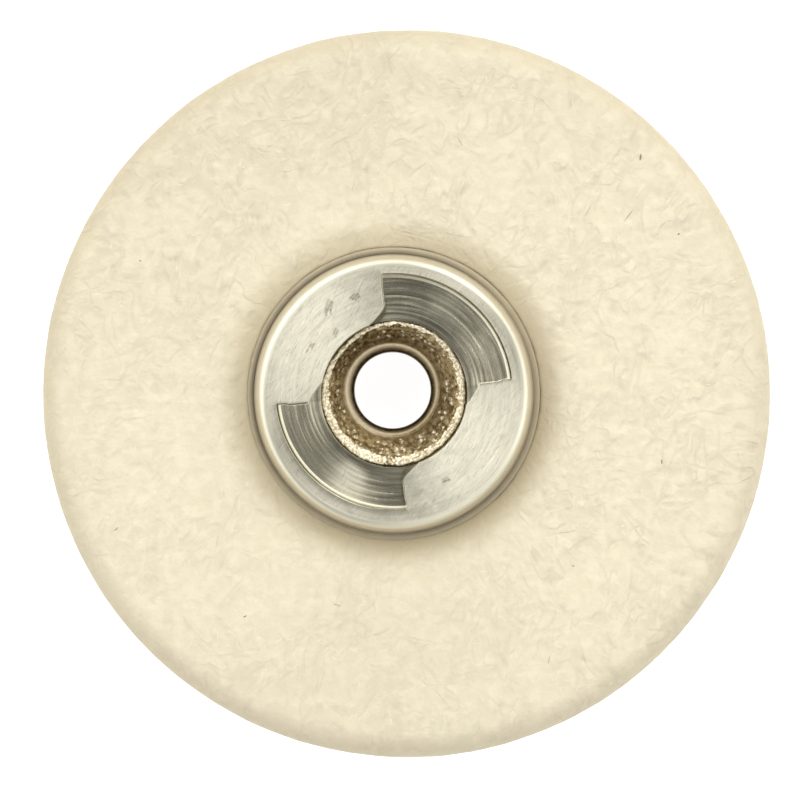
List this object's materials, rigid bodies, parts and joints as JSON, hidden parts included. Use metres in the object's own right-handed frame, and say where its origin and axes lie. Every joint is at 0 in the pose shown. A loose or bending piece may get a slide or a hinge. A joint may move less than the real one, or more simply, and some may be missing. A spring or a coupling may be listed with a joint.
{
  "type": "felt polishing wheel",
  "caption": "Round pressed-wool felt polishing wheel, clamped by a turned metal hub with ramped drive recesses and a flared tubular rivet, for a small rotary spindle.",
  "frame": {"origin": "under the middle of the felt disc, on the plane of the back flange that the wheel rests on", "axes": "+Z along the spindle axis, out of the drive face; +X away from the side that the hub is off centre towards"},
  "size_m": [0.0254, 0.0254, 0.0055],
  "materials": {
    "felt": "pressed cream wool felt with fine surface fibres",
    "hub_metal": "turned, with concentric tool marks",
    "flange_metal": "turned, with concentric tool marks",
    "rivet_brass": "dull brown brass, rough and bright at the flared edge"
  },
  "bodies": {
    "root": {"felt_disc": "felt", "drive_hub": "hub_metal", "back_flange": "flange_metal", "tubular_rivet": "rivet_brass"}
  },
  "joints": []
}
